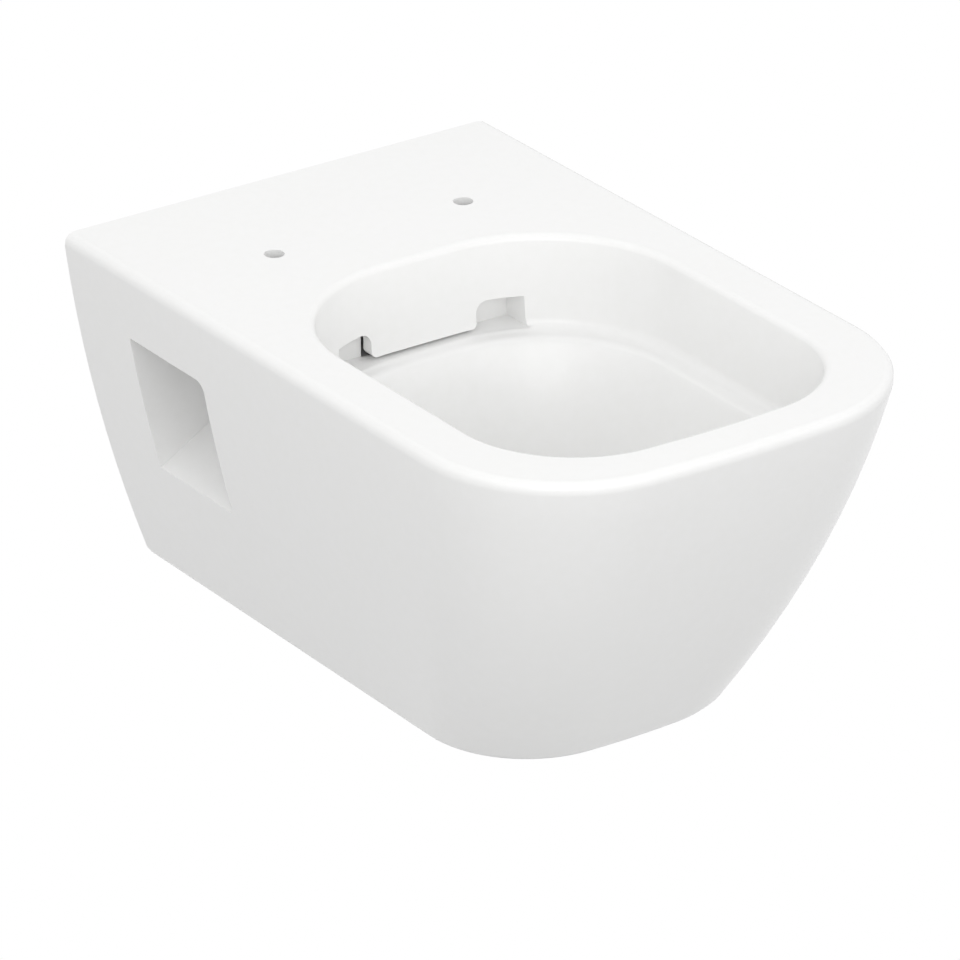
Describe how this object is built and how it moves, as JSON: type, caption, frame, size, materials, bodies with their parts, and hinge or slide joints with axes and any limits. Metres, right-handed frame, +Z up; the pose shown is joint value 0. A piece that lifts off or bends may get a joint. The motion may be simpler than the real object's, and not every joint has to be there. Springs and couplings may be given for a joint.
{
  "type": "wall hung toilet",
  "caption": "White ceramic wall hung toilet pan with a rimless bowl, a flush lip, side pockets for its wall fixings and seat hinge holes.",
  "frame": {"origin": "on the wall plane, midway between the two wall studs", "axes": "+Z up, +Y into the wall, the pan's front points to -Y, X across"},
  "size_m": [0.3498, 0.5965, 0.26],
  "materials": {
    "ceramic": "white gloss glaze",
    "rubber": "matte black",
    "distributor": "matte light grey",
    "zinc_steel": "bright zinc plated",
    "sleeve": "matte white",
    "cap": "white gloss"
  },
  "bodies": {
    "pan": {"pan": "ceramic", "inlet_seal": "rubber", "flush_distributor": "distributor", "stud_left": "zinc_steel", "sleeve_left": "sleeve", "washer_left": "zinc_steel", "nut_left": "zinc_steel", "stud_right": "zinc_steel", "sleeve_right": "sleeve", "washer_right": "zinc_steel", "nut_right": "zinc_steel"},
    "cap_left": {"cap_left": "cap"},
    "cap_right": {"cap_right": "cap"}
  },
  "joints": [
    {"name": "left_cap_pull", "type": "slide", "parent": "pan", "child": "cap_left", "axis": [0, -1, 0], "range_m": [0, 0.045]},
    {"name": "right_cap_pull", "type": "slide", "parent": "pan", "child": "cap_right", "axis": [0, -1, 0], "range_m": [0, 0.045]}
  ]
}
